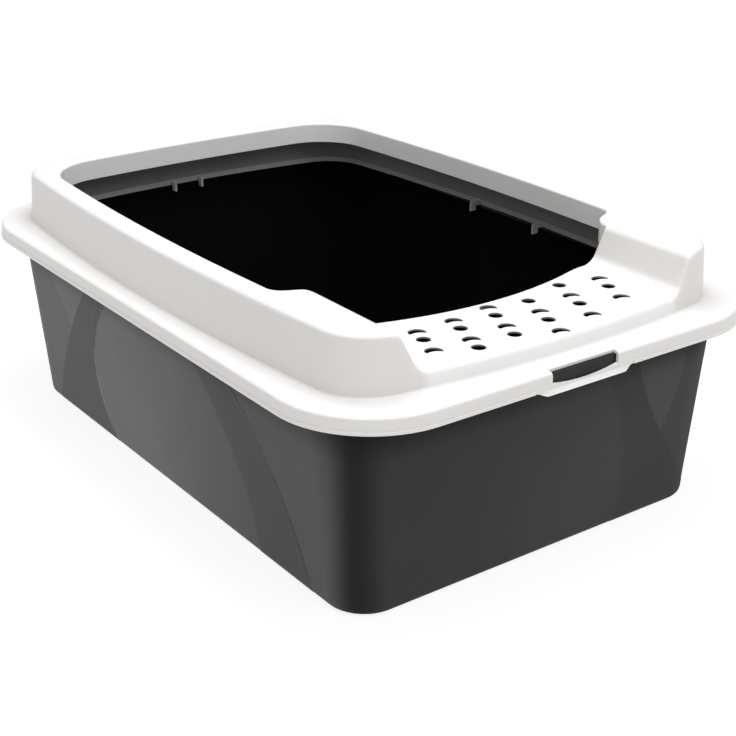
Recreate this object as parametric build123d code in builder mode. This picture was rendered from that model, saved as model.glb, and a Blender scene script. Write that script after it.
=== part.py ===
"""Cat litter tray with a lift-off raised rim and a lowered, perforated entry step.

Two mouldings: a dark open tray, and a white rim that seats over the tray's flange.
Origin at the centre of the base, +Z up, long axis along Y, entry step at the -Y end.
All sizes in millimetres.
"""
import os

from build123d import *

os.makedirs("parts", exist_ok=True)

# ================================================================ driving dimensions
# rim: flange and skirt
rim_length = 564.0
rim_width = 394.0
rim_corner = 72.0
flange_top = 162.0  # height of the flange's upper face
skirt_depth = 12.0
rim_wall = 2.2
step_wall = 1.6
skirt_round = 3.0
bead_reach = 0.8  # bead along the skirt's lower edge
bead_height = 2.2

# rim: raised collar, with sides that bow outwards in plan
collar_height = 42.0  # above the flange
ledge_side = 15.0  # flat flange left outside the collar, at the middle of a long side
ledge_end = 21.0  # the same at the middle of a short side
foot_side_bow = 14.5
foot_end_bow = 14.5
foot_corner = 41.0
foot_round = 2.5
lean_side = 5.5  # how far the wall leans in between foot and top, at the middle of a long side
lean_end = 1.2
crown_side_bow = 12.0
crown_end_bow = 14.8
crown_corner = 38.0
crown_round = 4.4

# rim: mouth
border_side = 17.7  # collar's upper face, at the middle of a long side
border_rear = 22.8
mouth_side_bow = 10.5  # over the length from the middle to the rear
mouth_rear_bow = 7.0
mouth_corner = 48.0
mouth_round = 1.8
lip_depth = 18.0
neck_inset = 27.8  # how far each side of the mouth steps in between the two arms
neck_length = 29.0  # of the S-curve that leads into the neck
neck_land = 1.8  # straight stretch between the S-curve and the step
neck_corner = 1.4

# rim: entry step
step_rise = 12.0  # above the flange
step_depth = 101.0  # from the skirt's face to the step's rear edge, on the centre line
step_corner = 14.0
panel_lean = 14.5  # how far each side panel leans out over its height
arm_round = 12.0
step_arc_radius = 298.0
knee_inset = 31.0  # from the neck's side to the end of the step's arc
knee_round = 60.0
step_lip_depth = 8.0

# rim: drain holes, in slanting columns that alternate crescents and round holes
hole_diameter = 10.2
crescent_diameter = 12.8
crescent_bite = 18.0
crescent_depth = 7.0
crescent_tip = 0.8
hole_round = 0.5
crescent_shift = 4.0  # towards the step's front edge, from the pattern of the round holes
hole_margin_start = 40.9  # from the step's side to the first column, at its first row
hole_margin_end = 2.3  # the same at the other side: the last column starts two rows further on
hole_margin_rear = 13.0  # from the step's rear edge to the first row, in the first column
hole_margin_front = 2.6  # from the collar's foot to the last row, in the first column
column_spread = 1.22  # the columns stand further apart towards +X
column_rise = 1.68
row_pitch_gain = 0.5  # from each column to the next
row_lean = 5.5  # sideways step from one row to the next
row_lean_gain = 0.37
hole_rows = ((0, 2), (0, 3), (0, 3), (1, 4), (1, 4), (2, 4))  # first and last row of each column

# rim: snap window with a dipped sill over a strap, at both ends
window_half_width = 30.0
window_notch = 5.5
sill_height = 3.8  # above the skirt's lower edge, at the window's corners
sill_dip = 3.0
strap_half_width = 34.0
strap_shoulder = 11.0  # length of the S-curve at each end of the strap
strap_drop = 3.0  # below the skirt's lower edge
strap_height = 3.6
strap_reach = 2.3

# rim: locating ribs, a pair at the middle of each side and at the rear
rib_thickness = 1.6
rib_drop = 4.5
rib_rise = 4.0
rib_length = 6.0
rib_spacing_side = 82.0
rib_spacing_rear = 28.0
rib_lap = 0.8  # how deep a rib's foot runs into the collar's wall

# tray
base_inset_end = 35.5  # from the rim's face in to the edge of the base
base_inset_side = 32.5
base_corner = 30.0
wall_flare = 13.2  # how far each wall leans out between the base and the flange
tray_mouth_corner = 45.0
tray_wall = 2.6
base_round = 5.0
base_border = 16.0
base_recess = 1.0
flange_lip_depth = 7.0
lug_half_width = 27.0
lug_reach = 0.8

# tray: bands in low relief, each between two arcs given by their places at the base, half way up
# and at the top: distances along Y on the long walls, and along X on the short ones
relief = 0.3
side_bands = (
    ((94, 113, 40), (205, 159, 84)),
    ((-197, -159, -69), (-131, -104, -26)),
)
end_bands = (((73, 70, 29), (163, 104, 68)),)

# clearances
seat_gap = 0.3  # between the tray's flange and the rim that rests on it
skirt_gap = 1.2  # between the tray's flange and the rim's skirt round it
rib_gap = 0.8  # between the locating ribs and the tray's wall

# ================================================================ worked-out sizes
skirt_bottom = flange_top - skirt_depth
flange_under = flange_top - rim_wall
collar_top = flange_top + collar_height
step_top = flange_top + step_rise
strap_bottom = skirt_bottom - strap_drop
strap_end = strap_half_width + strap_shoulder

foot_side = rim_width / 2 - ledge_side  # reach of the collar's foot at the middle of its sides
foot_end = rim_length / 2 - ledge_end
crown_side = foot_side - lean_side
crown_end = foot_end - lean_end
mouth_side = crown_side - border_side
mouth_rear = crown_end - border_rear
neck_side = mouth_side - neck_inset
knee_side = neck_side - knee_inset
step_side = neck_side - panel_lean
step_rear = step_depth - rim_length / 2  # Y of the step's rear edge, on the centre line
knee_y = step_rear + step_arc_radius - (step_arc_radius**2 - knee_side**2) ** 0.5
neck_front = knee_y + neck_land
neck_rear = neck_front + neck_length
neck_middle = (neck_front + neck_rear) / 2
mouth_front_bow = mouth_side_bow * (neck_rear / (mouth_rear - mouth_rear_bow)) ** 2
first_column = hole_margin_start - step_side
last_column = step_side - hole_margin_end
columns = len(hole_rows) - 1
column_pitch = (last_column - first_column) / columns - column_spread * columns
last_row = max(last for first, last in hole_rows)
row_pitch = (step_depth - ledge_end - hole_margin_rear - hole_margin_front) / last_row

tray_top = flange_under - seat_gap
base_width = rim_width - 2 * base_inset_side
base_length = rim_length - 2 * base_inset_end
base_spread = wall_flare / tray_top  # outward lean of a tray wall, per mm of height
hidden_margin = rim_wall + skirt_gap  # from the skirt's outer face to the tray's flange
tray_mouth_side = base_width / 2 + wall_flare
tray_mouth_end = base_length / 2 + wall_flare
rib_inner_x = tray_mouth_side - tray_wall - rib_gap - rib_length
rib_inner_y = tray_mouth_end - tray_wall - rib_gap - rib_length


# ================================================================ outlines and tool bodies
def bowed_outline(side, end, side_bow, end_bow, corner, inset=0.0):
    """Rounded closed outline whose four sides bow outwards, drawn inset by an even margin."""
    x, y = side - side_bow - inset, end - end_bow - inset
    with BuildSketch(mode=Mode.PRIVATE) as outline:
        with BuildLine():
            ThreePointArc((x, -y), (side - inset, 0), (x, y))
            ThreePointArc((x, y), (0, end - inset), (-x, y))
            ThreePointArc((-x, y), (inset - side, 0), (-x, -y))
            ThreePointArc((-x, -y), (0, inset - end), (x, -y))
        make_face()
        fillet(outline.vertices(), corner - inset)
    return outline.sketch


def foot_outline(inset=0.0):
    """Plan of the collar's wall where it meets the flange."""
    return bowed_outline(foot_side, foot_end, foot_side_bow, foot_end_bow, foot_corner, inset)


def crown_outline(inset=0.0):
    """Plan of the collar's wall at its top."""
    return bowed_outline(crown_side, crown_end, crown_side_bow, crown_end_bow, crown_corner, inset)


def mouth_outline(grow=0.0):
    """Plan of the mouth: bowed sides, round rear corners, a narrowed neck and the step's arc."""
    side, neck, knee = (x + grow for x in (mouth_side - mouth_side_bow, neck_side, knee_side))
    front = mouth_side - mouth_front_bow + grow
    rear = mouth_rear - mouth_rear_bow + grow
    start, end = neck_rear - grow / 2, neck_front - grow / 2
    radius = step_arc_radius + grow
    edge_y = step_rear + step_arc_radius - (radius**2 - knee**2) ** 0.5
    with BuildSketch(mode=Mode.PRIVATE) as outline:
        with BuildLine():
            ThreePointArc((front, start), (mouth_side + grow, 0), (side, rear))
            ThreePointArc((side, rear), (0, mouth_rear + grow), (-side, rear))
            ThreePointArc((-side, rear), (-mouth_side - grow, 0), (-front, start))
            Spline((-front, start), (-neck, end), tangents=((0, -1), (0, -1)))
            Polyline((-neck, end), (-neck, edge_y), (-knee, edge_y))
            ThreePointArc((-knee, edge_y), (0, step_rear - grow), (knee, edge_y))
            Polyline((knee, edge_y), (neck, edge_y), (neck, end))
            Spline((neck, end), (front, start), tangents=((0, 1), (0, 1)))
        make_face()
        fillet(outline.vertices().group_by(Axis.Y)[-1], mouth_corner + grow)
        knees = outline.vertices().filter_by_position(Axis.Y, edge_y - 0.01, edge_y + 0.01)
        fillet(knees.filter_by_position(Axis.X, 1 - neck, neck - 1), knee_round - grow)
        knees = outline.vertices().filter_by_position(Axis.Y, edge_y - 0.01, edge_y + 0.01)
        fillet(knees.group_by(Axis.X)[0] + knees.group_by(Axis.X)[-1], neck_corner)
    return outline.sketch


def mouth_prism(low, high, grow=0.0):
    """Upright block with the mouth's plan."""
    with BuildPart(mode=Mode.PRIVATE) as prism:
        with BuildSketch(Plane.XY.offset(low)):
            add(mouth_outline(grow))
        extrude(amount=high - low)
    return prism.part


def step_recess(grow=0.0):
    """Space over the step: flat floor, leaning side panels and soft shoulders on the arms."""
    shoulder = neck_side + arm_round
    roof = collar_top + arm_round
    with BuildPart(mode=Mode.PRIVATE) as recess:
        with BuildSketch(Plane.XZ.offset(-neck_middle)) as section:
            with BuildLine():
                Polyline(
                    (-shoulder, roof),
                    (-shoulder, collar_top),
                    (-neck_side, collar_top),
                    (-step_side, step_top),
                    (step_side, step_top),
                    (neck_side, collar_top),
                    (shoulder, collar_top),
                    (shoulder, roof),
                    close=True,
                )
            make_face()
            fillet(section.vertices().group_by(Axis.Y)[0], step_corner)
            level = section.vertices().filter_by_position(
                Axis.Y, collar_top - 0.01, collar_top + 0.01
            )
            fillet(level.filter_by_position(Axis.X, 1 - shoulder, shoulder - 1), arm_round)
            if grow:
                offset(amount=grow, kind=Kind.INTERSECTION)
        extrude(amount=rim_length / 2)
    return recess.part


def hole_centre(column, row):
    """Place of one drain hole, on a slanting pattern that fans out towards +X."""
    x = first_column + column_pitch * column + column_spread * column**2
    y = step_rear - hole_margin_rear + column_rise * column**2
    lean, pitch = row_lean + row_lean_gain * column, row_pitch + row_pitch_gain * column
    steps = row if row % 2 else row + crescent_shift / (lean**2 + pitch**2) ** 0.5
    return x - lean * steps, y - pitch * steps


def crescent_hole():
    """A round hole with a bite taken out of its side towards the step's front edge."""
    with BuildSketch(mode=Mode.PRIVATE) as hole:
        Circle(crescent_diameter / 2)
        bite_centre = crescent_diameter / 2 - crescent_depth - crescent_bite / 2
        slope = (row_pitch**2 + row_lean**2) ** 0.5
        with Locations((bite_centre * row_lean / slope, bite_centre * row_pitch / slope)):
            Circle(crescent_bite / 2, mode=Mode.SUBTRACT)
        fillet(hole.vertices(), crescent_tip)
    return hole.sketch


def rib_row(side_reach, rear_reach):
    """Plan of the ribs, from their inner ends outwards to the two given distances."""
    side_length, rear_length = side_reach - rib_inner_x, rear_reach - rib_inner_y
    with BuildSketch(mode=Mode.PRIVATE) as ribs:
        with GridLocations(side_reach + rib_inner_x, rib_spacing_side, 2, 2):
            Rectangle(side_length, rib_thickness)
        with Locations((0, rib_inner_y + rear_length / 2)):
            with GridLocations(rib_spacing_rear, 0, 2, 1):
                Rectangle(rib_thickness, rear_length)
    return ribs.sketch


def strap_plan(reach, end_reach):
    """Plan of the strap: it stands out from the skirt by one reach, and by another at its ends."""
    face = -rim_length / 2
    with BuildSketch(mode=Mode.PRIVATE) as plan:
        with BuildLine():
            Line((-strap_end, face + rim_wall), (-strap_end, face - end_reach))
            Spline(
                (-strap_end, face - end_reach),
                (-strap_half_width, face - reach),
                tangents=((1, 0), (1, 0)),
            )
            Line((-strap_half_width, face - reach), (strap_half_width, face - reach))
            Spline(
                (strap_half_width, face - reach),
                (strap_end, face - end_reach),
                tangents=((1, 0), (1, 0)),
            )
            Line((strap_end, face - end_reach), (strap_end, face + rim_wall))
            Line((strap_end, face + rim_wall), (-strap_end, face + rim_wall))
        make_face()
    return plan.sketch


def tray_block(inset=0.0, floor=0.0):
    """The tray's tapering form with rounded lower edges, drawn inset by an even margin."""
    lean = base_spread * floor
    with BuildPart(mode=Mode.PRIVATE) as block:
        with BuildSketch(Plane.XY.offset(floor)):
            RectangleRounded(
                base_width - 2 * inset + 2 * lean, base_length - 2 * inset + 2 * lean, base_corner - inset
            )
        with BuildSketch(Plane.XY.offset(tray_top)):
            RectangleRounded(
                2 * (tray_mouth_side - inset), 2 * (tray_mouth_end - inset), tray_mouth_corner - inset
            )
        loft()
        fillet(block.edges().group_by(Axis.Z)[0], base_round)
    return block.part


def arc_band(first, second):
    """Upright band between two arcs, each given by its places at the base, half way and the top."""
    middle = tray_top / 2
    with BuildSketch(mode=Mode.PRIVATE) as band:
        with BuildLine():
            ThreePointArc((first[0], 0), (first[1], middle), (first[2], tray_top))
            Line((first[2], tray_top), (second[2], tray_top))
            ThreePointArc((second[2], tray_top), (second[1], middle), (second[0], 0))
            Line((second[0], 0), (first[0], 0))
        make_face()
    return band.sketch


# ================================================================ edge selectors
def in_front(edge):
    """True for the edges where the step and the arms meet the front wall."""
    box = edge.bounding_box()
    return box.max.Y < foot_end_bow - foot_end + foot_round + crown_round and box.min.Z > step_top - 0.01


def on_crown(edge):
    """True for the collar's outer top edge."""
    middle = edge @ 0.5
    outside = abs(middle.X) > neck_side + arm_round or middle.Y > mouth_rear
    return outside and edge.bounding_box().min.Z > collar_top - 0.01


def on_foot(edge):
    """True for the edge where the collar's wall meets the flange."""
    box = edge.bounding_box()
    level = abs(box.min.Z - flange_top) < 0.01 and abs(box.max.Z - flange_top) < 0.01
    return level and abs((edge @ 0.5).X) < rim_width / 2 - 2 * skirt_round


def on_mouth(edge):
    """True for the edges where the mouth cuts the collar's and the step's upper faces."""
    middle = edge @ 0.5
    leaning = abs((edge % 0.5).Z) < 0.99
    foot = Vertex(middle.X, middle.Y, 0)
    return leaning and middle.Z > step_top - 0.01 and mouth_edge.distance_to(foot) < 0.01


mouth_edge = mouth_outline().wire()
crescent = crescent_hole()

# ================================================================ rim: space inside the shell
with BuildPart() as step_lip:
    add(mouth_prism(step_top - step_lip_depth, collar_top, rim_wall))
    split(bisect_by=Plane.XZ.offset(-neck_rear), keep=Keep.TOP)

with BuildPart() as cavity:
    with BuildSketch(Plane.XY.offset(skirt_bottom)):
        RectangleRounded(
            rim_width - 2 * rim_wall, rim_length - 2 * rim_wall, rim_corner - rim_wall
        )
    extrude(amount=skirt_depth - rim_wall)
    with BuildSketch(Plane.XY.offset(flange_under)):
        add(foot_outline(rim_wall))
    with BuildSketch(Plane.XY.offset(collar_top - rim_wall)):
        add(crown_outline(rim_wall))
    loft()
    add(step_recess(step_wall), mode=Mode.SUBTRACT)
    add(mouth_prism(collar_top - lip_depth, collar_top, rim_wall), mode=Mode.SUBTRACT)
    add(step_lip.part, mode=Mode.SUBTRACT)

# ================================================================ rim: snap window and strap
with BuildPart() as window:
    with BuildSketch(Plane.XZ.offset(rim_length / 2 - window_notch)):
        with BuildLine():
            corner_z = skirt_bottom + sill_height
            ThreePointArc(
                (-window_half_width, corner_z), (0, corner_z - sill_dip), (window_half_width, corner_z)
            )
            Polyline(
                (window_half_width, corner_z),
                (window_half_width, collar_top),
                (-window_half_width, collar_top),
                (-window_half_width, corner_z),
            )
        make_face()
    extrude(amount=2 * window_notch)

with BuildPart() as strap:
    # the outer face slopes back until it runs into the skirt
    with BuildSketch(Plane.XY.offset(strap_bottom)):
        add(strap_plan(strap_reach, bead_reach))
    with BuildSketch(Plane.XY.offset(strap_bottom + strap_height)):
        add(strap_plan(-rim_wall / 8, -rim_wall / 8))
    loft()
    # the lower edge swings up to the skirt's at both ends
    with BuildSketch(Plane.XZ):
        with BuildLine():
            Spline(
                (-strap_end, skirt_bottom), (-strap_half_width, strap_bottom), tangents=((1, 0), (1, 0))
            )
            Line((-strap_half_width, strap_bottom), (strap_half_width, strap_bottom))
            Spline((strap_half_width, strap_bottom), (strap_end, skirt_bottom), tangents=((1, 0), (1, 0)))
            Polyline(
                (strap_end, skirt_bottom),
                (strap_end, flange_top),
                (-strap_end, flange_top),
                (-strap_end, skirt_bottom),
            )
        make_face()
    extrude(amount=rim_length, mode=Mode.INTERSECT)

# ================================================================ rim
with BuildPart() as rim:
    # flange and skirt, with a bead along the lower edge that stops at the straps
    with BuildSketch(Plane.XY.offset(skirt_bottom)):
        RectangleRounded(rim_width, rim_length, rim_corner)
    extrude(amount=skirt_depth)
    fillet(rim.edges().group_by(Axis.Z)[-1], skirt_round)
    with BuildSketch(Plane.XY.offset(skirt_bottom)):
        RectangleRounded(
            rim_width + 2 * bead_reach, rim_length + 2 * bead_reach, rim_corner + bead_reach
        )
        with GridLocations(0, rim_length + 2 * bead_reach, 1, 2):
            Rectangle(2 * strap_end, 2 * bead_reach, mode=Mode.SUBTRACT)
    extrude(amount=bead_height)

    # collar, lowered between the arms
    with BuildSketch(Plane.XY.offset(flange_top)):
        add(foot_outline())
    with BuildSketch(Plane.XY.offset(collar_top)):
        add(crown_outline())
    loft()
    add(step_recess(), mode=Mode.SUBTRACT)
    fillet(rim.edges().filter_by(lambda edge: in_front(edge) or on_crown(edge)), crown_round)
    fillet(rim.edges().filter_by(on_foot), foot_round)

    # mouth, then the space under the shell
    add(mouth_prism(skirt_bottom, collar_top), mode=Mode.SUBTRACT)
    fillet(rim.edges().filter_by(on_mouth), mouth_round)
    add(cavity.part, mode=Mode.SUBTRACT)

    # drain holes
    with BuildSketch(Plane.XY.offset(step_top)):
        for column, (first, last) in enumerate(hole_rows):
            for row in range(first, last + 1):
                with Locations(hole_centre(column, row)):
                    if row % 2:
                        Circle(hole_diameter / 2)
                    else:
                        add(crescent)
    extrude(amount=-step_rise / 2, mode=Mode.SUBTRACT)
    fillet(rim.edges(Select.LAST).group_by(Axis.Z)[-1], hole_round)

    # window and strap, at the front and again at the rear
    for turn in (0, 180):
        add(window.part, rotation=(0, 0, turn), mode=Mode.SUBTRACT)
        add(strap.part, rotation=(0, 0, turn))

    # locating ribs: each stands on the collar's wall and hangs down inside the tray's mouth
    with BuildSketch(Plane.XY.offset(flange_under)):
        add(rib_row(foot_side - rim_wall + rib_lap, foot_end - rim_wall + rib_lap))
    extrude(amount=rib_rise)
    with BuildSketch(Plane.XY.offset(flange_under - rib_drop)):
        add(rib_row(rib_inner_x + rib_length, rib_inner_y + rib_length))
    extrude(amount=rib_drop)

rim.part.label = "rim"
export_step(rim.part, "parts/rim.step")

# ================================================================ tray
with BuildPart() as tray_relief:
    with BuildSketch(Plane.YZ):
        for first, second in side_bands:
            add(arc_band(first, second))
    extrude(amount=rim_width / 2, both=True)
    with BuildSketch(Plane.XZ):
        for first, second in end_bands:
            add(arc_band(first, second))
    extrude(amount=rim_length / 2, both=True)
    add(tray_block(-relief), mode=Mode.INTERSECT)

with BuildPart() as tray:
    add(tray_block())
    add(tray_relief.part)

    # flange with a turned-down lip, hidden under the rim's skirt
    with BuildSketch(Plane.XY.offset(tray_top - flange_lip_depth)):
        RectangleRounded(
            rim_width - 2 * hidden_margin, rim_length - 2 * hidden_margin, rim_corner - hidden_margin
        )
        offset(amount=-tray_wall, mode=Mode.SUBTRACT)
    extrude(amount=flange_lip_depth)
    with BuildSketch(Plane.XY.offset(tray_top - tray_wall)):
        RectangleRounded(
            rim_width - 2 * hidden_margin, rim_length - 2 * hidden_margin, rim_corner - hidden_margin
        )
    extrude(amount=tray_wall)

    # lugs that show in the rim's windows
    with BuildSketch(Plane.XY.offset(tray_top - flange_lip_depth)):
        with GridLocations(0, rim_length - 2 * hidden_margin, 1, 2):
            Rectangle(2 * lug_half_width, 2 * lug_reach)
    extrude(amount=flange_lip_depth - seat_gap)

    # hollow it, and raise the middle of its underside off the floor
    add(tray_block(tray_wall, tray_wall), mode=Mode.SUBTRACT)
    with BuildSketch():
        RectangleRounded(
            base_width - 2 * base_border, base_length - 2 * base_border, base_corner - base_border / 2
        )
    extrude(amount=base_recess, mode=Mode.SUBTRACT)

tray.part.label = "tray"
export_step(tray.part, "parts/tray.step")

for name, piece in (("rim", rim), ("tray", tray)):
    size = piece.part.bounding_box().size
    print(f"{name}: {size.X:.1f} x {size.Y:.1f} x {size.Z:.1f} mm, {piece.part.volume / 1000:.0f} cm3")
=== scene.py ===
import math

import bpy
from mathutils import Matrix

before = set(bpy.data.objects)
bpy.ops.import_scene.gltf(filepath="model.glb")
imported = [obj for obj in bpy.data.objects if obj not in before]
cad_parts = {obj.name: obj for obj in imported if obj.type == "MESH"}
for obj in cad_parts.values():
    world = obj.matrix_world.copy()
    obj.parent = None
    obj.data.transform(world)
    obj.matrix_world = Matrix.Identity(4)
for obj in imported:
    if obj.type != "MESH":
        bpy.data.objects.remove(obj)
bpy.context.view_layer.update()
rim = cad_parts["rim"]
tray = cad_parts["tray"]

# the tray, in metres
TRAY_TOP = 0.1595
BASE_SIDE = 0.1645  # half width of the base
BASE_END = 0.2465  # half length of the base
WALL_FLARE = 0.0132  # outward lean of a wall over the tray's height
FLOOR_HEIGHT = 0.030  # the floor's rounded edge ends below this
LUG_BOTTOM = 0.1515

# the rim, in metres
FLANGE_TOP = 0.1620
RIM_UNDERSIDE = 0.1642
STEP_UNDERSIDE = 0.1733
LIP_BOTTOM = 0.186
STEP_ARC = 0.298  # radius of the step's rear edge
STEP_ARC_CENTRE = (0.0, 0.117, 0.0)
KNEE = -0.160  # where the side panels of the step begin
HOLES_SIDE = 0.1065  # half width of the field of drain holes
HOLES_FRONT = -0.2562
FRONT_BOW = 0.60  # bow of the wall below the step, per metre

# tones
WHITE = (0.87, 0.857, 0.845, 1)
WHITE_WORN = (0.89, 0.877, 0.865, 1)
WHITE_EDGE = (0.92, 0.91, 0.90, 1)
SHADED_WHITE = (0.33, 0.32, 0.31, 1)
UPRIGHT_PAINTED_SHADE_WHITE = (0.85, 0.84, 0.83, 1)  # painted shade on upright walls, times the tone of the tops
# tray wall tones: the long walls lighter than the short ones is painted light on one charcoal
# plastic
PAINTED_LIGHT_LONG_WALL_TONE = 0.116
PAINTED_LIGHT_SHORT_WALL_TONES = (0.022, 0.036)  # at the left and the right end; lighter at the right: painted light
WALL_GREY = 0.008  # added on every wall
LUG_GREY = 0.030
# painted shade: the inside of the tray nearly black
INSIDE_PAINTED_SHADE_GREY = 0.0052

# arcs on the tray's walls: places at the base, half way up and at the top
SIDE_ARCS = {
    "left of the rear band": (0.205, 0.159, 0.084),
    "right of the rear band": (0.094, 0.113, 0.040),
    "across the rear band": (0.088, 0.148, 0.199),
    "left of the front band": (-0.131, -0.104, -0.026),
    "right of the front band": (-0.197, -0.159, -0.069),
}
END_ARCS = {
    "inner": (0.073, 0.070, 0.029),
    "outer": (0.163, 0.104, 0.068),
    "bowed": (0.059, 0.116, 0.125),
}


# ------------------------------------------------------------------ node helpers
class Board:
    """A node tree with short calls for placing and joining nodes."""

    def __init__(self, tree):
        self.tree = tree
        self.column = 0

    def place(self, kind, settings=None, **sockets):
        node = self.tree.nodes.new("ShaderNode" + kind)
        node.location = (self.column * 190, -(self.column % 5) * 160)
        self.column += 1
        for name, value in (settings or {}).items():
            setattr(node, name, value)
        for name, value in sockets.items():
            self.feed(node.inputs[name.replace("_", " ")], value)
        return node

    def feed(self, socket, value):
        if isinstance(value, bpy.types.NodeSocket):
            self.tree.links.new(value, socket)
        else:
            socket.default_value = value

    def math(self, operation, first, second=None, third=None, clamp=False):
        node = self.place("Math", {"operation": operation, "use_clamp": clamp})
        for socket, value in zip(node.inputs, (first, second, third)):
            if value is not None:
                self.feed(socket, value)
        return node.outputs[0]

    def colour_mix(self, factor, first, second, blend="MIX"):
        node = self.place("Mix", {"data_type": "RGBA", "blend_type": blend})
        self.feed(node.inputs[0], factor)
        self.feed(node.inputs[6], first)
        self.feed(node.inputs[7], second)
        return node.outputs[2]

    def ramp(self, value, low, high, to_low=0.0, to_high=1.0):
        node = self.place("MapRange", {"interpolation_type": "SMOOTHSTEP"})
        for socket, number in zip(node.inputs, (value, low, high, to_low, to_high)):
            self.feed(socket, number)
        return node.outputs[0]

    def size(self, value):
        return self.math("ABSOLUTE", value)

    def share(self, mask, amount):
        """1 outside the mask, and less by the amount inside it."""
        return self.inverse(self.math("MULTIPLY", mask, amount))

    def inverse(self, value):
        return self.math("SUBTRACT", 1.0, value)

    def both(self, first, second):
        return self.math("MULTIPLY", first, second)

    def either(self, first, second):
        return self.math("MAXIMUM", first, second)

    def group(self, tree, **sockets):
        return self.place("Group", {"node_tree": tree}, **sockets)


def new_group(name, inputs, outputs):
    """Empty shader node group with float or vector sockets: {name: (kind, start value)}."""
    tree = bpy.data.node_groups.new(name, "ShaderNodeTree")
    for label, (kind, value) in inputs.items():
        socket = tree.interface.new_socket(label, in_out="INPUT", socket_type="NodeSocket" + kind)
        if value is not None:
            socket.default_value = value
    for label, kind in outputs.items():
        tree.interface.new_socket(label, in_out="OUTPUT", socket_type="NodeSocket" + kind)
    board = Board(tree)
    start = tree.nodes.new("NodeGroupInput")
    end = tree.nodes.new("NodeGroupOutput")
    return tree, board, start.outputs, end.inputs


def grain_group():
    """Fine texture that a mould leaves: small pits over a slow waviness."""
    tree, board, given, result = new_group(
        "moulding grain",
        {"Place": ("Vector", None), "Pit Size": ("Float", 0.0006), "Waviness": ("Float", 0.3)},
        {"Height": "Float", "Sheen": "Float"},
    )
    density = board.math("DIVIDE", 1.0, given["Pit Size"])
    pits = board.place("TexNoise", Vector=given["Place"], Scale=density, Detail=3.0, Roughness=0.6)
    slow = board.place("TexNoise", Vector=given["Place"], Scale=38.0, Detail=2.0, Roughness=0.5)
    swell = board.math("MULTIPLY", slow.outputs[0], given["Waviness"])
    board.feed(result["Height"], board.math("ADD", pits.outputs[0], swell))
    flow = board.place("TexNoise", Vector=given["Place"], Scale=7.0, Detail=4.0, Roughness=0.62)
    board.feed(result["Sheen"], board.ramp(flow.outputs[0], 0.3, 0.7))
    return tree


def edge_group():
    """Mask of outer edges: 1 on a rounded or sharp edge, 0 on the flats."""
    tree, board, given, result = new_group(
        "rubbed edges",
        {"Reach": ("Float", 0.002), "Contrast": ("Float", 6.0), "Place": ("Vector", None)},
        {"Mask": "Float"},
    )
    rounded = board.place("Bevel", {"samples": 6}, Radius=given["Reach"])
    plain = board.place("NewGeometry")
    agree = board.place("VectorMath", {"operation": "DOT_PRODUCT"})
    board.feed(agree.inputs[0], rounded.outputs[0])
    board.feed(agree.inputs[1], plain.outputs["Normal"])
    turn = board.inverse(agree.outputs["Value"])
    strong = board.math("MULTIPLY", turn, given["Contrast"], clamp=True)
    patch = board.place("TexNoise", Vector=given["Place"], Scale=60.0, Detail=3.0)
    broken = board.ramp(patch.outputs[0], 0.35, 0.65)
    board.feed(result["Mask"], board.both(strong, broken))
    return tree


def arc_group():
    """Which side of an arc on a tray wall a point is on: 1 past it, 0 before it."""
    tree, board, given, result = new_group(
        "arc side",
        {
            "Along": ("Float", 0.0),
            "Height": ("Float", 0.0),
            "Base": ("Float", 0.0),
            "Middle": ("Float", 0.0),
            "Top": ("Float", 0.0),
            "Blur": ("Float", 0.0012),
        },
        {"Mask": "Float"},
    )
    t = board.math("DIVIDE", given["Height"], TRAY_TOP)
    rest = board.inverse(t)
    twice = board.math("MULTIPLY", t, 2.0)
    at_base = board.both(rest, board.inverse(twice))
    at_middle = board.math("MULTIPLY", board.both(t, rest), 4.0)
    at_top = board.both(t, board.math("SUBTRACT", twice, 1.0))
    place = board.both(given["Base"], at_base)
    place = board.math("MULTIPLY_ADD", given["Middle"], at_middle, place)
    place = board.math("MULTIPLY_ADD", given["Top"], at_top, place)
    past = board.math("SUBTRACT", given["Along"], place)
    soft = board.math("DIVIDE", past, given["Blur"])
    board.feed(result["Mask"], board.math("ADD", soft, 0.5, clamp=True))
    return tree


def inward_group():
    """1 where a surface faces the middle of the tray, 0 where it faces out."""
    tree, board, given, result = new_group(
        "facing inwards",
        {"Place": ("Vector", None), "Facing": ("Vector", None)},
        {"Mask": "Float"},
    )
    level = board.place("VectorMath", {"operation": "MULTIPLY"})
    board.feed(level.inputs[0], given["Place"])
    level.inputs[1].default_value = (1.0, 0.62, 0.0)
    away = board.place("VectorMath", {"operation": "DOT_PRODUCT"})
    board.feed(away.inputs[0], level.outputs[0])
    board.feed(away.inputs[1], given["Facing"])
    board.feed(result["Mask"], board.ramp(away.outputs["Value"], 0.0, -0.03))
    return tree


def wall_group():
    """How deep a point lies in a tray wall, and whether that wall is a long one or a short one."""
    tree, board, given, result = new_group(
        "tray wall",
        {"Place": ("Vector", None)},
        {"Depth": "Float", "Long": "Float", "Short": "Float"},
    )
    across, along, height = board.place("SeparateXYZ", Vector=given["Place"]).outputs
    lean = board.math("MULTIPLY", height, WALL_FLARE / TRAY_TOP)
    from_long = board.math("SUBTRACT", board.math("ADD", lean, BASE_SIDE), board.size(across))
    from_short = board.math("SUBTRACT", board.math("ADD", lean, BASE_END), board.size(along))
    board.feed(result["Depth"], board.math("MINIMUM", from_long, from_short))
    turn = board.math("SUBTRACT", from_short, from_long)
    board.feed(result["Long"], board.ramp(turn, 0.002, 0.032))
    board.feed(result["Short"], board.ramp(turn, -0.002, -0.032))
    return tree


grain = grain_group()
wall = wall_group()
edges = edge_group()
arc = arc_group()
inward = inward_group()


def new_material(name):
    material = bpy.data.materials.new(name)
    material.use_nodes = True
    board = Board(material.node_tree)
    shader = material.node_tree.nodes["Principled BSDF"]
    return material, board, shader


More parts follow.
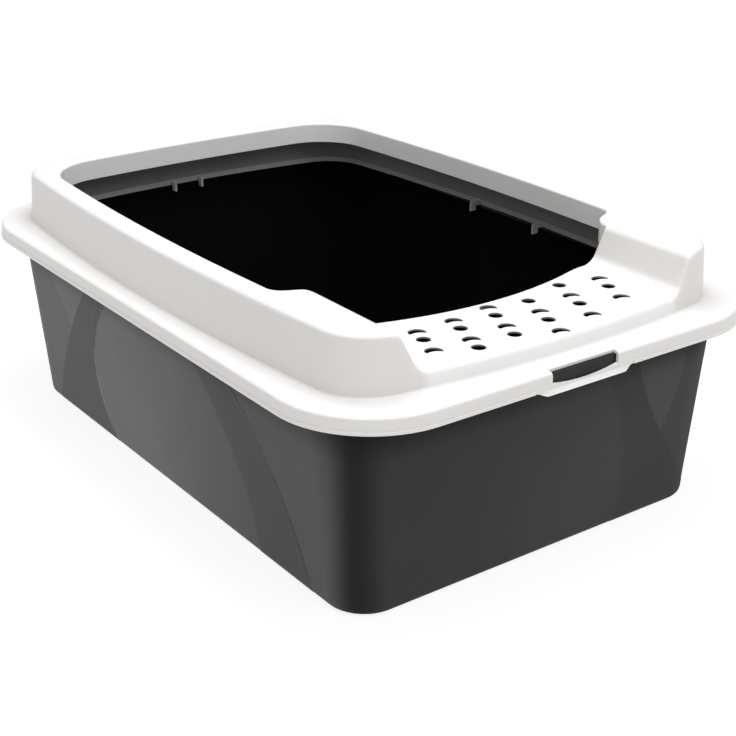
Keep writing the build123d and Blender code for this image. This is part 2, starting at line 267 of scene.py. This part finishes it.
def surface(board):
    """Place and facing of the point, both in the piece's own axes, and each taken apart."""
    coordinates = board.place("TexCoord")
    place, facing = coordinates.outputs["Object"], coordinates.outputs["Normal"]
    spot = board.place("SeparateXYZ", Vector=place).outputs
    turned = board.place("SeparateXYZ", Vector=facing).outputs
    return place, facing, spot, turned


def satin(board, shader, texture, dullest, strength):
    """Roughness and fine bumps of moulded plastic."""
    board.feed(shader.inputs["Roughness"], board.ramp(texture["Sheen"], 0.0, 1.0, 0.36, dullest))
    bump = board.place("Bump", Strength=strength, Distance=0.0003, Height=texture["Height"])
    board.feed(shader.inputs["Normal"], bump.outputs[0])


# ------------------------------------------------------------------ white plastic of the rim
def painted_shade_under_lip(board, inside, along, height):
    """Painted shade on the inner side of the shell under the lip. The ribs below it are less dark.
    """
    under_lip = board.ramp(height, LIP_BOTTOM + 0.0004, LIP_BOTTOM - 0.0008)
    above_ribs = board.ramp(height, RIM_UNDERSIDE, RIM_UNDERSIDE + 0.0006, 0.62, 1.0)
    behind_step = board.ramp(along, KNEE, KNEE + 0.002)
    return board.both(board.both(inside, under_lip), board.both(above_ribs, behind_step))


def painted_shade_in_drain_holes(board, across, along, height):
    """Painted shade on the walls of the drain holes: on the step, clear of its rounded edges."""
    from_arc = board.place("VectorMath", {"operation": "DISTANCE"})
    board.feed(from_arc.inputs[0], board.place("CombineXYZ", X=across, Y=along).outputs[0])
    from_arc.inputs[1].default_value = STEP_ARC_CENTRE
    field = board.ramp(from_arc.outputs["Value"], STEP_ARC + 0.0019, STEP_ARC + 0.0022)
    field = board.both(field, board.ramp(board.size(across), HOLES_SIDE + 0.0005, HOLES_SIDE))
    bowed = board.math("MULTIPLY_ADD", board.both(across, across), -FRONT_BOW, along)
    field = board.both(field, board.ramp(bowed, HOLES_FRONT - 0.0004, HOLES_FRONT))
    below_top = board.ramp(height, STEP_UNDERSIDE + 0.0004, STEP_UNDERSIDE - 0.0002)
    holes = board.both(field, below_top)
    return board.both(holes, board.ramp(height, STEP_UNDERSIDE - 0.0011, STEP_UNDERSIDE - 0.0009))


def painted_shade_on_uprights(board, inside, turned, across, along, height):
    """Painted shade: mask of the outer walls and the step's side panels, without the low wall
    below the step, which are darkened against the tops.
    """
    upright = board.ramp(board.size(turned["Z"]), 0.75, 0.35)
    panel = board.both(inside, board.ramp(along, KNEE, KNEE - 0.008))
    outward = board.either(board.inverse(inside), board.math("MULTIPLY", panel, 1.5))
    low = board.both(board.ramp(height, 0.1750, 0.1720), board.ramp(along, -0.248, -0.252))
    low = board.both(low, board.ramp(board.size(across), 0.118, 0.108))
    low = board.both(low, board.ramp(height, FLANGE_TOP - 0.002, FLANGE_TOP))
    return board.both(board.both(upright, outward), board.inverse(low))


def rim_plastic():
    material, board, shader = new_material("white satin plastic")
    place, facing, spot, turned = surface(board)
    across, along, height = spot
    texture = board.group(grain, Place=place, Pit_Size=0.0007, Waviness=0.5).outputs
    rubbed = board.group(edges, Reach=0.0025, Contrast=5.0, Place=place).outputs["Mask"]
    inside = board.group(inward, Place=place, Facing=facing).outputs["Mask"]
    under_lip = painted_shade_under_lip(board, inside, along, height)
    holes = painted_shade_in_drain_holes(board, across, along, height)
    outer = painted_shade_on_uprights(board, inside, turned, across, along, height)

    tone = board.colour_mix(texture["Sheen"], WHITE, WHITE_WORN)
    tone = board.colour_mix(rubbed, tone, WHITE_EDGE)
    # painted shade under the lip and on the walls of the drain holes
    tone = board.colour_mix(board.either(under_lip, holes), tone, SHADED_WHITE)
    # painted shade: upright walls darker than the tops
    tone = board.colour_mix(outer, tone, UPRIGHT_PAINTED_SHADE_WHITE, "MULTIPLY")
    board.feed(shader.inputs["Base Color"], tone)
    satin(board, shader, texture, 0.44, 0.12)
    shader.inputs["IOR"].default_value = 1.49
    return material


# ------------------------------------------------------------------ charcoal plastic of the tray
def past(board, arcs, name, distance, height):
    base, middle, top = arcs[name]
    node = board.group(arc, Along=distance, Height=height, Base=base, Middle=middle, Top=top)
    return node.outputs["Mask"]


def long_wall_painted_light_and_shade(board, along, height):
    """Painted light and shade on a long wall: a dark band at each end, with a lighter corner above
    the crossing at the rear, and the wall lighter towards the rear.
    """
    rear_left = past(board, SIDE_ARCS, "left of the rear band", along, height)
    rear_right = past(board, SIDE_ARCS, "right of the rear band", along, height)
    crossing = past(board, SIDE_ARCS, "across the rear band", along, height)
    front_left = past(board, SIDE_ARCS, "left of the front band", along, height)
    front_right = past(board, SIDE_ARCS, "right of the front band", along, height)
    rear_band = board.both(rear_right, board.inverse(rear_left))
    front_band = board.both(front_right, board.inverse(front_left))
    painted_light_patch = board.both(rear_left, board.inverse(crossing))
    # painted light: the long wall lighter than the short ones, and lighter towards the rear
    tone = board.math("MULTIPLY", board.ramp(along, -0.17, 0.08, 0.45, 1.0), PAINTED_LIGHT_LONG_WALL_TONE)
    # painted shade on the bands
    for mask, amount in ((rear_right, 0.22), (rear_band, 0.42), (front_band, 0.34)):
        tone = board.both(tone, board.share(mask, amount))
    return board.both(tone, board.math("MULTIPLY_ADD", painted_light_patch, 0.25, 1.0))


def short_wall_painted_light_and_shade(board, across, height):
    """Painted light and shade on a short wall: a dark band at the right, with a lighter corner
    beside it, and the wall lighter towards the right.
    """
    inner = past(board, END_ARCS, "inner", across, height)
    outer = past(board, END_ARCS, "outer", across, height)
    bowed = past(board, END_ARCS, "bowed", across, height)
    band = board.both(inner, board.inverse(outer))
    painted_light_patch = board.both(outer, board.inverse(bowed))
    tone = board.ramp(across, -0.14, 0.12, *PAINTED_LIGHT_SHORT_WALL_TONES)
    tone = board.both(tone, board.share(band, 0.22))
    return board.both(tone, board.math("MULTIPLY_ADD", painted_light_patch, 0.35, 1.0))


def painted_light_on_relief_steps(board, turned, side, end):
    """Painted light on the narrow risers of the relief: lightened against their shade, as light as
    the bands beside them.
    """
    square_to_side = board.both(board.size(turned["X"]), side)
    square_to_end = board.both(board.size(turned["Y"]), end)
    aslant = board.ramp(board.either(square_to_side, square_to_end), 0.75, 0.45)
    painted_light_mask = board.both(aslant, board.ramp(board.either(side, end), 0.95, 1.0))
    return board.both(painted_light_mask, board.ramp(board.size(turned["Z"]), 0.9, 0.8))


def painted_shade_inside_tray(board, place, facing, turned, depth, height):
    """Mask of the inner walls and the floor, which are painted nearly black: painted shade on the
    same charcoal plastic.
    """
    walls = board.group(inward, Place=place, Facing=facing).outputs["Mask"]
    walls = board.both(walls, board.ramp(depth, 0.0010, 0.0016))
    low = board.ramp(height, FLOOR_HEIGHT, FLOOR_HEIGHT - 0.010)
    return board.either(walls, board.both(board.ramp(turned["Z"], 0.3, 0.6), low))


def tray_plastic():
    material, board, shader = new_material("charcoal satin plastic")
    place, facing, spot, turned = surface(board)
    across, along, height = spot
    texture = board.group(grain, Place=place, Pit_Size=0.0006, Waviness=0.4).outputs
    walls = board.group(wall, Place=place).outputs
    side, end = walls["Long"], walls["Short"]

    shade = board.both(long_wall_painted_light_and_shade(board, along, height), side)
    shade = board.math("MULTIPLY_ADD", short_wall_painted_light_and_shade(board, across, height), end, shade)
    shade = board.math("ADD", shade, WALL_GREY)
    painted_light_mask = painted_light_on_relief_steps(board, turned, side, end)
    # painted light on the risers
    shade = board.both(shade, board.math("MULTIPLY_ADD", painted_light_mask, 3.5, 1.0))
    shade = board.both(shade, board.ramp(height, 0.116, 0.143, 1.0, 0.22))  # painted shade under the skirt
    lug = board.ramp(height, LUG_BOTTOM, LUG_BOTTOM + 0.001)
    shade = board.math("MULTIPLY_ADD", lug, LUG_GREY, shade)
    outside = board.inverse(painted_shade_inside_tray(board, place, facing, turned, walls["Depth"], height))
    # painted shade inside the tray
    shade = board.math("MULTIPLY_ADD", shade, outside, INSIDE_PAINTED_SHADE_GREY)

    blue = board.math("MULTIPLY", shade, 0.975)
    grey = board.place("CombineColor", Red=shade, Green=shade, Blue=blue)
    tone = board.place("VectorMath", {"operation": "SCALE"})
    board.feed(tone.inputs[0], grey.outputs[0])
    board.feed(tone.inputs["Scale"], board.ramp(texture["Sheen"], 0.0, 1.0, 0.94, 1.04))
    board.feed(shader.inputs["Base Color"], tone.outputs[0])

    satin(board, shader, texture, 0.42, 0.15)
    gloss = board.both(board.math("MULTIPLY_ADD", side, 0.22, 0.22), outside)
    board.feed(shader.inputs["Coat Weight"], board.both(gloss, board.inverse(lug)))
    shader.inputs["Coat Roughness"].default_value = 0.38
    shader.inputs["Coat IOR"].default_value = 1.49
    shader.inputs["Specular IOR Level"].default_value = 0.0
    return material


for node, material in ((rim, rim_plastic()), (tray, tray_plastic())):
    node.data.materials.clear()
    node.data.materials.append(material)


# ------------------------------------------------------------------ floor, light and camera
def studio_floor():
    bpy.ops.mesh.primitive_plane_add(size=160, location=(0, 0, -0.0005))
    floor = bpy.context.object
    floor.name = "studio_floor"
    material, _, shader = new_material("white floor")
    shader.inputs["Base Color"].default_value = (0.2, 0.2, 0.2, 1)
    shader.inputs["Roughness"].default_value = 0.9
    shader.inputs["Specular IOR Level"].default_value = 0.0
    shader.inputs["Emission Color"].default_value = (1, 1, 1, 1)
    shader.inputs["Emission Strength"].default_value = 0.86
    floor.data.materials.append(material)


def hang(name, lamp):
    stand = bpy.data.objects.new(name, lamp)
    bpy.context.scene.collection.objects.link(stand)
    return stand


def soft_sun(name, towards, strength, spread):
    lamp = bpy.data.lights.new(name, "SUN")
    lamp.energy = strength
    lamp.angle = math.radians(spread)
    stand = hang(name, lamp)
    across, along, up = towards
    stand.location = (2 * across, 2 * along, 2 * up)
    tilt = math.atan2(math.hypot(across, along), up)
    stand.rotation_euler = (tilt, 0, math.atan2(across, -along))


def soft_box(name, place, size, power):
    lamp = bpy.data.lights.new(name, "AREA")
    lamp.shape = "RECTANGLE"
    lamp.size, lamp.size_y = size
    lamp.energy = power
    hang(name, lamp).location = place


def studio():
    studio_floor()
    soft_sun("window_light", (-0.03, -0.36, 0.93), 1.62, 70)
    soft_box("overhead_light", (0, 0, 0.95), (0.35, 0.50), 3.0)
    world = bpy.data.worlds.new("studio air")
    bpy.context.scene.world = world
    world.use_nodes = True
    air = world.node_tree.nodes["Background"]
    air.inputs["Color"].default_value = (1, 1, 1, 1)
    air.inputs["Strength"].default_value = 0.40
    bpy.context.scene.view_settings.view_transform = "Standard"


def camera():
    lens = bpy.data.cameras.new("camera")
    lens.sensor_width = 36
    lens.lens = 70.03
    stand = hang("camera", lens)
    stand.location = (-0.62865, -0.90285, 0.53323)
    stand.rotation_euler = (math.radians(90 - 23.31), 0, math.radians(-35.93))
    bpy.context.scene.camera = stand


studio()
camera()
